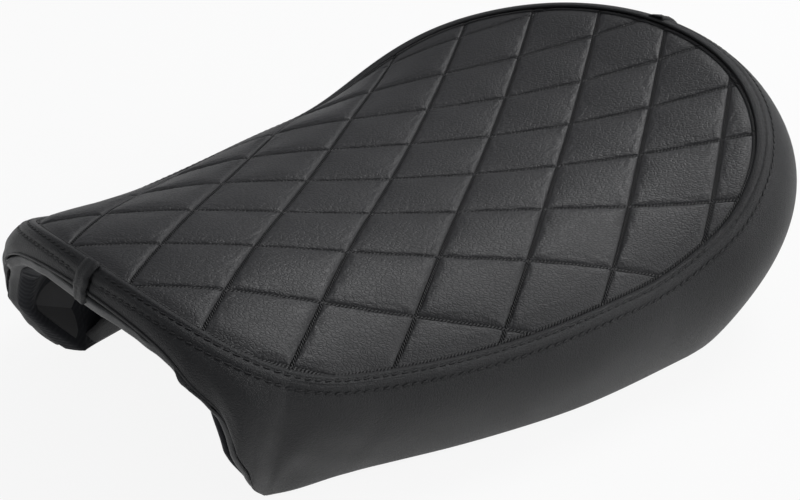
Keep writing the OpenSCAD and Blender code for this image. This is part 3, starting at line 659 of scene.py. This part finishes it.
panel_mat = finish("quilted_vinyl", (0.030, 0.030, 0.032), (0.007, 0.007, 0.008), 0.5, 0.05, 0.38, 0.0006, 600.0,
                   mottle=9.0, wrinkle=0.25, fine=0.1, stretch=1.6, Specular_IOR_Level=0.5)
panel = piece("quilted_top", panel_pts, panel_faces, panel_mat)
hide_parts("quilted_panel")

# ---------------------------------------------------------------- quilting thread
# A thick bonded thread is laid in every groove of the quilt in short slanted stitches, so each
# seam looks like a cord.

STITCH_STEP, STITCH_L, STITCH_R, STITCH_SLANT = 2.0, 3.2, 0.55, 40.0
BORDER_SEAM = 2.3


def beads(name, middles, along, normals, length, radius, slant, material):
    """Short closed rods with rounded ends, one at each middle point, lying on the surface and
    turned by slant from the seam's direction: six-sided rings at four places along each."""
    n = unit(normals)
    a = unit(along - n * (along * n).sum(-1, keepdims=True))
    side = np.cross(n, a)
    turn = np.radians(slant)
    d = a * math.cos(turn) + side * math.sin(turn)
    e = np.cross(n, d)
    t = np.array([-0.5, -0.36, 0.36, 0.5])
    size = np.array([0.35, 1.0, 1.0, 0.35])
    ring = np.radians(60 * np.arange(6))
    rod = middles[:, None, None] + d[:, None, None] * (t * length)[None, :, None, None]
    rod = rod + e[:, None, None] * (size[:, None] * np.cos(ring) * radius)[None, :, :, None]
    rod = rod + n[:, None, None] * (size[:, None] * np.sin(ring) * radius)[None, :, :, None]
    one = grid_faces(4, 6, close_cols=True)
    first = np.arange(len(middles))[:, None, None] * 24
    sides = (first + one[None]).reshape(-1, 4).tolist()
    caps = np.concatenate([(first[:, 0] + np.arange(5, -1, -1)), (first[:, 0] + np.arange(18, 24))])
    return piece(name, rod.reshape(-1, 3), sides + caps.tolist(), material)


def along_run(d, run, p):
    """Points at distances d along a path p whose lengths are in run."""
    return np.stack([np.interp(d, run, p[:, c]) for c in range(3)], -1)


def quilt_seams():
    """Points every STITCH_STEP along each line of the quilt inside the border, and along the
    border where the panel is sewn to the bands, with directions."""
    spots, ways = [], []
    x = np.linspace(-228, 200, 1500)
    lines = [(x, across_to(x, sign * QUILT_S * (k - (x - QUILT_SHIFT) / QUILT_X)))
             for sign in (1, -1) for k in range(-6, 7)]
    lines.append((HUB + (rim_x - HUB) * (1 - BORDER_SEAM / rim_far), rim_y * (1 - BORDER_SEAM / rim_far)))
    for x, y in lines:
        inside = (outline_at(x, y)[1] > 2.2) & (np.abs(y) < 169)
        if inside.sum() < 20:
            continue
        p = np.stack([x, y, top(x, y)], -1)[inside]
        run = run_of(p)
        keep = np.arange(1.0, run[-1], STITCH_STEP)
        q = along_run(keep, run, p)
        spots.append(q)
        ways.append(np.gradient(q, axis=0))
    return np.concatenate(spots), np.concatenate(ways)


def top_normal(x, y):
    """Normal of the top, from its slopes over a millimetre."""
    return unit(np.stack([top(x - 0.5, y) - top(x + 0.5, y), top(x, y - 0.5) - top(x, y + 0.5), 0 * x + 1], -1))


seam_at, seam_way = quilt_seams()
seam_n = top_normal(seam_at[:, 0], seam_at[:, 1])
seam_at[:, 2] = panel_z(seam_at[:, 0], seam_at[:, 1], 0 * seam_at[:, 0])
thread_mat = finish("quilting_thread", (0.014, 0.014, 0.015), (0.006, 0.006, 0.007), 0.42, 0.08, 0.3, 0.0002, 2600.0)
quilting = beads("quilting_thread", seam_at + seam_n * 0.62, seam_way, seam_n, STITCH_L, STITCH_R, STITCH_SLANT,
                 thread_mat)

# ---------------------------------------------------------------- side bands
# Two bands of smoother coated fabric, cut to shape and stretched over the foam's sides. The upper
# edge is folded to a lip over the panel's border, and the lower edge is turned under to a hem.

LIP_R, SHEET_T, HEM_IN = 1.05, 0.85, 20.3
ROW_1, ROW_2, STITCH = 3.2, 9.6, 5.3


def down_at(d):
    """The share down the band at distances d from the lip, one row of them for each station."""
    return np.array([np.interp(row, run, np.linspace(0, 1, len(run))) for row, run in zip(d, fall_run)])


band_i = even(lambda s: skin(s, 0 * s), 0, 27, 1.07)
fall = skin(band_i[:, None], np.linspace(0, 1, 121)[None, :])
fall_run = run_of(fall)
height = fall_run[:, -1:]
close = np.concatenate([np.arange(0, 12.6, 0.8), np.linspace(13.5, 16, 3)])
reach = np.linspace(0, 1, 44)[1:]


def lip_up(i):
    """How far above the lower edge the band ends at station i: the facing shows below it."""
    j = near(i)
    return (4.2 * (1 - ease((j - 1.8) / 1.6)) + 1.6) * (1 - ease((j - 5.3) / 0.9))


close_d = close[None, :] * np.minimum(1, height / 24)
rest_d = close_d[:, -1:] + (height - lip_up(band_i)[:, None] - close_d[:, -1:]) * reach[None, :]
row_d = np.concatenate([close_d, rest_d], 1)
row_h = down_at(row_d)


def turned(i, h):
    """Slow creases where the band is pulled round the flap and the arch, as a height over the
    skin: slanted sine folds with a soft mask, strongest beside the flap's front edge."""
    flap = np.exp(-((i - 6.2) / 2.2) ** 2) * np.exp(-((h - 0.62) / 0.42) ** 2)
    drag = np.sin(9 * h + 2.3 * i + 1.2 * np.sin(3 * i)) + 0.6 * np.sin(17 * h - 3.1 * i)
    side = 0.25 * np.sin(1.3 * i + 5 * h) * np.sin(4 * h)
    return 0.42 * flap * drag + side * ease((i - 8) / 4)


def band_shell(flip):
    """The band as outer rows of points: allowance, lip, skin, turned edge and hem. flip is 1 on
    the left and -1 on the right, which only changes the folds' phase."""
    i = band_i[:, None]
    body = skin(i + 0 * row_h, row_h)
    lean = unit(body[:, 1] - body[:, 0])
    tangent = unit(np.gradient(body[:, 0], axis=0))
    up = unit(np.cross(lean, tangent))
    up *= np.sign(up[:, 2:3])
    steps = np.radians([-90, -115, -140, -165, -190, -215, -240])
    centre = body[:, 0] - up * LIP_R
    lip = centre[:, None] + LIP_R * (np.cos(steps)[None, :, None] * lean[:, None]
                                     + np.sin(steps)[None, :, None] * up[:, None])
    hidden = lip[:, :1] + lean[:, None] * np.array([5.0, 2.5])[None, :, None]
    normal = unit(np.cross(np.gradient(body, axis=0), np.gradient(body, axis=1)))
    normal *= np.sign((normal * outward(band_i)[:, None] + [0, 0, 1e-3]).sum(-1, keepdims=True))
    relief = turned(i + 1.7 * (flip < 0), row_h)
    relief = relief - 1.3 * np.exp(-((body[..., 1] - 5.6) / 0.8) ** 2) * (flip > 0) * (i < 3)
    for row in (ROW_1, ROW_2):
        run = stitch_run(row)[:, None] / STITCH
        pull = 0.5 + 0.5 * np.cos(2 * math.pi * run)
        relief = relief - (0.28 + 0.36 * pull) * np.exp(-((row_d - row) / 0.85) ** 2)
    puff = 0.45 * np.exp(-((row_d - (ROW_1 + ROW_2) / 2) / 2.0) ** 2) + 0.3 * np.exp(-((row_d - 1.3) / 1.0) ** 2)
    body = body + normal * ((relief + puff) * ease(row_d / 1.0))[..., None]
    wide = 5.0 + (HEM_IN - 5.0) * ease((band_i - 5.2) / 1.6)
    tall = 2.2 + 13.8 * ease((band_i - 5.6) / 1.6)
    turn = [(0.15, 1.4), (0.6, 0.6), (1.4, 0.15), (2.6, 0.0)]
    foot = [under(band_i, 0 * wide + w, 0 * wide + u) for w, u in turn]
    foot += [under(band_i, 2.6 + (wide - 4.2) * s, 0 * wide) for s in (0.33, 0.66, 1.0)]
    foot += [under(band_i, wide - 0.5, 0 * wide + 0.4), under(band_i, wide, 0 * wide + 1.4),
             under(band_i, wide, 0.5 * tall + 0.7), under(band_i, wide, tall)]
    foot = np.stack(foot, 1)
    roll = np.array([(0.1, -1.2), (0.45, -0.5), (1.0, -0.1), (1.6, 0.0), (2.0, -0.4), (2.2, -1.0), (2.2, -1.6),
                     (2.2, -2.4), (2.3, -3.2), (2.4, -3.8), (2.5, -4.4)])
    down = unit(body[:, -1] - body[:, -3])
    rolled = (body[:, -1, None] - normal[:, -1, None] * roll[None, :, :1] + down[:, None] * roll[None, :, 1:])
    open_edge = ease((5.9 - band_i) / 0.7)[:, None, None]
    foot = foot * (1 - open_edge) + rolled * open_edge
    shell = np.concatenate([hidden, lip, body[:, 1:-1], foot], 1)
    return shell * [1, flip, 1]


def row_share(row):
    """The share down the band of a row of stitches, station by station, as one column: its
    distance from the lip, but never below 0.42 of the band's height."""
    return down_at(np.minimum(row, height * 0.42))


def stitch_run(row):
    """Length along a row of stitches, station by station."""
    h = row_share(row)
    return run_of(skin(band_i[:, None], h)[:, 0])


def sheet_solid(name, outer, thick, material, flip=1):
    """A closed sheet from a grid of outer points: the same grid moved in along its normals by
    thick, with the four borders joined. flip is -1 where the grid's own normals point inwards."""
    rows, cols = outer.shape[:2]
    normal = unit(np.cross(np.gradient(outer, axis=0), np.gradient(outer, axis=1))) * flip
    inner = outer - normal * thick
    top_f = grid_faces(rows, cols)
    low_f = top_f[:, ::-1] + rows * cols
    k = np.arange(rows * cols).reshape(rows, cols)
    around = np.concatenate([k[:-1, 0], k[-1, :-1], k[:0:-1, -1], k[0, :0:-1]])
    beside = np.roll(around, -1)
    wall = np.stack([around, beside, beside + rows * cols, around + rows * cols], -1)
    faces = np.concatenate([top_f, low_f, wall])
    if flip > 0:
        faces = faces[:, ::-1]
    return piece(name, np.concatenate([outer.reshape(-1, 3), inner.reshape(-1, 3)]), faces, material)


band_mat = finish("band_vinyl", (0.0245, 0.025, 0.0262), (0.0135, 0.014, 0.0152), 0.47, 0.05, 0.55, 0.0008, 780.0,
                  mottle=7.0, wrinkle=0.45, fine=0.3, stretch=1.3, Specular_IOR_Level=0.36)
for side, flip in (("left", 1), ("right", -1)):
    shell = band_shell(flip)
    band = sheet_solid(f"side_band_{side}", shell, SHEET_T, band_mat, -flip)
    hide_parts(f"band_{side}")
    length = float(stitch_run(ROW_1)[-1]) / 1000 + 0.09

# ---------------------------------------------------------------- topstitching
# Two rows of twin-needle stitching run beside the lip. Each stitch of dark thread lies a little
# slanted between its two needle holes.

topstitch_mat = finish("topstitch_thread", (0.016, 0.016, 0.018), (0.008, 0.008, 0.009), 0.5, 0.08, 0.4, 0.0003, 2600.0)


def row_stitches(row, flip):
    """Middles, directions and normals of a row's stitches on one side."""
    run = stitch_run(row)
    keep = np.arange(2.5 * STITCH, run[-1] - STITCH, STITCH) + STITCH / 2
    i = np.interp(keep, run, band_i)
    h = np.interp(i, band_i, row_share(row)[:, 0])
    p = skin(i, h)
    along = skin(i + 0.02, h) - skin(i - 0.02, h)
    down = skin(i, h + 0.01) - skin(i, h - 0.01)
    n = unit(np.cross(along, down))
    n *= np.sign((n * (outward(i) + [0, 0, 0.3])).sum(-1, keepdims=True))
    turn = [1, flip, 1]
    return (p - n * 0.12) * turn, along * turn, n * turn


for row_name, row in (("upper", ROW_1), ("lower", ROW_2)):
    both = [np.concatenate(a) for a in zip(row_stitches(row, 1), row_stitches(row, -1))]
    stitched = beads(f"topstitch_{row_name}", *both, 3.7, 0.44, 12.0, topstitch_mat)

# ---------------------------------------------------------------- seam folds
# Where the two bands meet at the nose and at the tail, one end is folded over the other and
# stitched down. It makes a flat welt with a rounded edge and a deep crease beside it.


WELT_W = 6.0


def lap(name, station, node_name):
    """A welt across the join of the bands: a profile over Y that rises at one side, runs flat and
    rolls under at the other, carried down the skin at a station. Returns its middle line, with
    the directions out from the skin and down it."""
    y = np.array([-1.0, -0.86, -0.72, -0.6, -0.4, -0.2, 0.0, 0.2, 0.4, 0.56, 0.68, 0.76, 0.80, 0.78, 0.7]) * WELT_W
    z = np.array([-0.25, 0.1, 0.75, 1.15, 1.3, 1.32, 1.3, 1.34, 1.45, 1.6, 1.5, 1.1, 0.5, 0.0, -0.4])
    sew = 0.35 * np.exp(-((y[:, None] + np.array([0.66, 0.1]) * WELT_W) / 0.6) ** 2).sum(1)
    h = np.linspace(0.0, 0.985, 64)
    middle = skin(station, h)
    way = unit(np.gradient(middle, axis=0))
    out = unit(np.cross(way, [0.0, 1.0, 0.0]))
    out *= np.sign(out[:, :1] * (1 if station == 0 else -1) + out[:, 2:] * 0.5)
    grid = middle[:, None] + out[:, None] * (z - sew)[None, :, None]
    grid[..., 1] += y[None, :] + 0.35 * np.sin(h * 19)[:, None]
    made = sheet_solid(name, grid, 0.9, band_mat, -1 if station == 0 else 1)
    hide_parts(node_name)
    return middle, out, way


for name, station, node_name in (("nose_welt", 0, "front_seam_fold"), ("tail_welt", 27, "rear_seam_fold")):
    middle, out, way = lap(name, station, node_name)
    run = run_of(middle)
    keep = np.arange(2.0, run[-1] - 1, STITCH)
    spots, lines, ups = (along_run(keep, run, a) for a in (middle + out * 1.05, way, out))
    spots = np.concatenate([spots + [0, y * WELT_W, 0] for y in (-0.66, -0.1)])
    sewn = beads(name + "_stitches", spots, np.tile(lines, (2, 1)), np.tile(ups, (2, 1)), 4.0, 0.4, 7.0, topstitch_mat)

# ---------------------------------------------------------------- facing under the nose
# The cover's offcut is wrapped round the foam's end under the nose. Its edge shows below the
# band's crease as a soft wavy lip, a little paler where it is stretched.

facing_mat = finish("facing_vinyl", (0.042, 0.043, 0.045), (0.024, 0.025, 0.026), 0.5, 0.06, 0.45, 0.0006, 760.0,
                    mottle=16.0, wrinkle=0.5, fine=0.4)
half_i = even(low, 0, 7.2, 1.3)
face_i = np.concatenate([-half_i[:0:-1], half_i])
face_j = near(face_i)
wave = 0.5 * np.sin(2.1 * face_i + 0.6) + 0.4 * np.sin(5.3 * face_i + 1.1) + 0.2 * np.sin(11 * face_i)
wave += 2.6 * np.exp(-((face_j - 2.6) / 0.28) ** 2)
wave *= ease((6.0 - face_j) / 1.2)
down_h = 1 - np.linspace(0, 0.5, 65)
last_run = run_of(skin(face_i[:, None], down_h[None, :]))


def off_skin(back, depth):
    """Points a distance back up the skin from the lower edge, and a depth in from it."""
    h = np.array([np.interp(b, r, down_h) for b, r in zip(np.maximum(back, 0), last_run)])
    p = skin(face_i, h)
    n = unit(np.cross(skin(face_i + 0.05, h) - skin(face_i - 0.05, h), skin(face_i, h) - skin(face_i, h - 0.02)))
    n *= np.sign((n * outward(face_i)).sum(-1, keepdims=True) + 1e-6)
    return p - n * depth[:, None]


up_i, edge_on = lip_up(face_i), ease((6.3 - face_j) / 0.8)
tuck_in = 2.2 * (1 - edge_on)
rows = [off_skin(up_i + u, w + tuck_in - s * wave) for u, w, s in (
    (7.0, 3.0, 0), (2.4, 2.9, 0), (1.0, 2.7, 0), (-0.4, 2.6, 0), (-1.1, 1.9, 0.2), (-1.7, 0.7, 0.7),
    (-2.4, 0.1, 1.0), (-3.2, 0.0, 1.0))]
rows += [off_skin(up_i * 0.25 + 0 * wave, 0.1 + tuck_in - 0.9 * wave)]
rows += [under(face_i, w + tuck_in, u * edge_on - 0.5 * wave * s + 1.2 * (1 - edge_on)) for w, u, s in (
    (0.5, -0.9, 1.0), (1.6, -1.7, 1.0), (3.1, -1.9, 0.8), (5.0, -1.5, 0.4), (8.0, -0.6, 0), (11.0, -0.4, 0),
    (14.5, -0.3, 0), (17.0, 0.2, 0))]
face_rows = np.stack(rows, 1)
facing = sheet_solid("nose_facing", face_rows, 0.9, facing_mat, -1)
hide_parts("front_facing")

# ---------------------------------------------------------------- arch lining
# A dark blue-grey woven lining is glued inside the pan round the front arch. It fans out in
# shallow folds on the flaps.


def weave_group():
    """A plain weave: two sets of threads as sine waves of the position along and across, each over
    the other by turns."""
    g, inp, out, add = group("plain_weave", ["Height"])
    add("Scale", 1400.0)
    scaled = node(g, "VectorMath", [(0, inp.outputs["Vector"]), ("Scale", inp.outputs["Scale"])], operation="SCALE")
    parts = node(g, "SeparateXYZ", [("Vector", scaled.outputs[0])])
    along = node(g, "Math", [(0, parts.outputs["Y"])], operation="SINE")
    flat = node(g, "Math", [(0, parts.outputs["X"]), (1, parts.outputs["Z"])], operation="ADD")
    across = node(g, "Math", [(0, flat.outputs[0])], operation="SINE")
    both = node(g, "Math", [(0, along.outputs[0]), (1, across.outputs[0])], operation="MULTIPLY")
    g.links.new(both.outputs[0], out.inputs["Height"])
    return g


def cloth_finish(name, colour, second, rough, depth):
    """A matt woven material: mottled colour, a weave in the bump, and sheen."""
    mat, t, bsdf, where = blank(name)
    two_tone(t, bsdf, placed(t, "patina", where, Scale=22.0)["Value"], colour, second)
    weave = placed(t, "weave", where)
    relief = node(t, "Bump", [("Height", weave["Height"])], Strength=0.4, Distance=depth)
    t.links.new(relief.outputs["Normal"], bsdf.inputs["Normal"])
    bsdf.inputs["Roughness"].default_value = rough
    bsdf.inputs["Sheen Weight"].default_value = 0.12
    bsdf.inputs["Specular IOR Level"].default_value = 0.3
    return mat


GROUPS["weave"] = weave_group()
lining_mat = cloth_finish("woven_lining", (0.015, 0.016, 0.0195), (0.009, 0.0098, 0.0125), 0.85, 0.0003)
line_half = even(low, 0, 11.0, 1.6)
line_i = np.concatenate([-line_half[:0:-1], line_half])


def wall(i, g, inward):
    """A point of the pan's skirt, a share g down from the deck to the rim, moved in across it."""
    a, b = deck(i, 1.0), under(i, 0 * i + PAN_EDGE, 0 * i + 2.4)
    q = unit(b - a)
    n = outward(i)
    swung = n * bulge(i)[:, None] * 0.4 * math.sin(math.pi * g)
    inside = np.stack([n[:, 0] * q[:, 2], n[:, 1] * q[:, 2], -(q * n).sum(-1)], -1)
    return a * (1 - g) + b * g + swung + inside * inward


start = 9.0 - 4.6 * ease((np.abs(line_i) - 5.4) / 0.8)  # further in on the arch than past it
rows = [under(line_i, start, 0 * line_i - 0.9), under(line_i, start + 1.5, 0 * line_i - 1.4)]
rows += [under(line_i, 0 * line_i + w, 0 * line_i + u) for w, u in ((11.0, -1.5), (12.0, -1.5), (15.5, -1.4),
                                                                     (18.6, -1.0), (19.6, 0.6))]
rows += [wall(line_i, g, PAN_WALL + 1.9) for g in np.linspace(0.9, 0.04, 12)]
rows += [deck(line_i, k) - [0, 0, PAN_WALL + 2.2] for k in (0.985, 0.95, 0.9)]
lining_rows = np.stack(rows, 1)
down = np.linspace(0, 1, lining_rows.shape[1])[None, :]
turn_i = np.abs(line_i)[:, None]
from_top = np.arctan2(2.6 * (turn_i - 2.6), 1.15 - down)
fan = np.sin(15 * from_top) * ease((turn_i - 2.4) / 1.2) * ease((7.5 - turn_i) / 2) * np.sin(math.pi * down) ** 0.5
line_n = unit(np.cross(np.gradient(lining_rows, axis=0), np.gradient(lining_rows, axis=1)))
lining_rows = lining_rows - line_n * (0.9 * fan)[..., None]
lining = sheet_solid("woven_lining", lining_rows, 0.7, lining_mat, -1)
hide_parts("arch_lining")

# ---------------------------------------------------------------- floor, light and camera
# A pale studio floor that keeps the seat's shadow, a weak even sky, one lamp high behind the
# tail, one low at the left rear, and a camera above the rider's left front corner.

FLOOR_Z = -0.0016  # the lowest sewn edge stands on it


def pale(tree, share):
    """How much a ray sees plain white: share for rays from the camera, from gloss or through
    glass, and none for light that falls on the seat."""
    path = tree.nodes.new("ShaderNodeLightPath")
    seen = node(tree, "Math", [(0, path.outputs["Is Camera Ray"]), (1, path.outputs["Is Glossy Ray"])],
                operation="ADD")
    seen = node(tree, "Math", [(0, seen.outputs[0]), (1, path.outputs["Is Transmission Ray"])], operation="ADD",
                use_clamp=True)
    part = node(tree, "Math", [(0, seen.outputs[0])], operation="MULTIPLY")
    part.inputs[1].default_value = share
    return part.outputs[0]


def blended(tree, share, lit, seen, output):
    """A mix of two shaders by a share, wired to the tree's output."""
    blend = node(tree, "MixShader", [("Fac", share), (1, lit.outputs[0]), (2, seen.outputs[0])])
    node(tree, output, [("Surface", blend.outputs[0])])


floor_mesh = mesh_of("floor", [(x, y, FLOOR_Z) for x, y in ((-6, -6), (6, -6), (6, 6), (-6, 6))], [(0, 1, 2, 3)])
floor = linked("floor", floor_mesh)
floor_mat = bpy.data.materials.new("studio_floor")
floor_mat.use_nodes = True
tree = floor_mat.node_tree
tree.nodes.clear()
matt = node(tree, "BsdfDiffuse", Color=(0.86, 0.86, 0.86, 1.0))
white = node(tree, "Emission", Color=(1.0, 1.0, 1.0, 1.0), Strength=1.0)
blended(tree, pale(tree, 0.9), matt, white, "OutputMaterial")
floor_mesh.materials.append(floor_mat)

world = bpy.data.worlds.new("studio")
bpy.context.scene.world = world
world.use_nodes = True
tree = world.node_tree
tree.nodes.clear()
soft = node(tree, "Background", Color=(0.95, 0.96, 1.0, 1.0), Strength=0.31)
clean = node(tree, "Background", Color=(1.0, 1.0, 1.0, 1.0), Strength=1.0)
blended(tree, tree.nodes.new("ShaderNodeLightPath").outputs["Is Camera Ray"], soft, clean, "OutputWorld")


def lamp(name, place, aim, size, power):
    """A square area lamp at a place, in metres, turned to face a point."""
    data = bpy.data.lights.new(name, "AREA")
    data.size = size
    data.energy = power
    made = linked(name, data)
    made.location = place
    made.rotation_mode = "QUATERNION"
    made.rotation_quaternion = (Vector(aim) - Vector(place)).to_track_quat("-Z", "Y")


lamp("overhead", (-1.15, -0.15, 1.4), (0, 0, 0.08), 0.8, 13)
lamp("side", (-1.3, 1.3, 0.8), (0, 0, 0.06), 0.9, 11.5)

camera_data = bpy.data.cameras.new("camera")
camera = linked("camera", camera_data)
turn, rise, far = math.radians(48.7), math.radians(25.4), 1.0016
saddle = at([0, 0, 0])
camera.location = saddle + far * np.array([math.cos(rise) * math.cos(turn), math.cos(rise) * math.sin(turn),
                                           math.sin(rise)])
camera.rotation_mode = "QUATERNION"
camera.rotation_quaternion = (Vector(saddle) - camera.location).to_track_quat("-Z", "Y")
camera_data.sensor_width = 36.0
camera_data.lens = 78.75
camera_data.shift_x = 0.01125
camera_data.shift_y = -0.08875
bpy.context.scene.camera = camera
bpy.context.scene.view_settings.view_transform = "Standard"
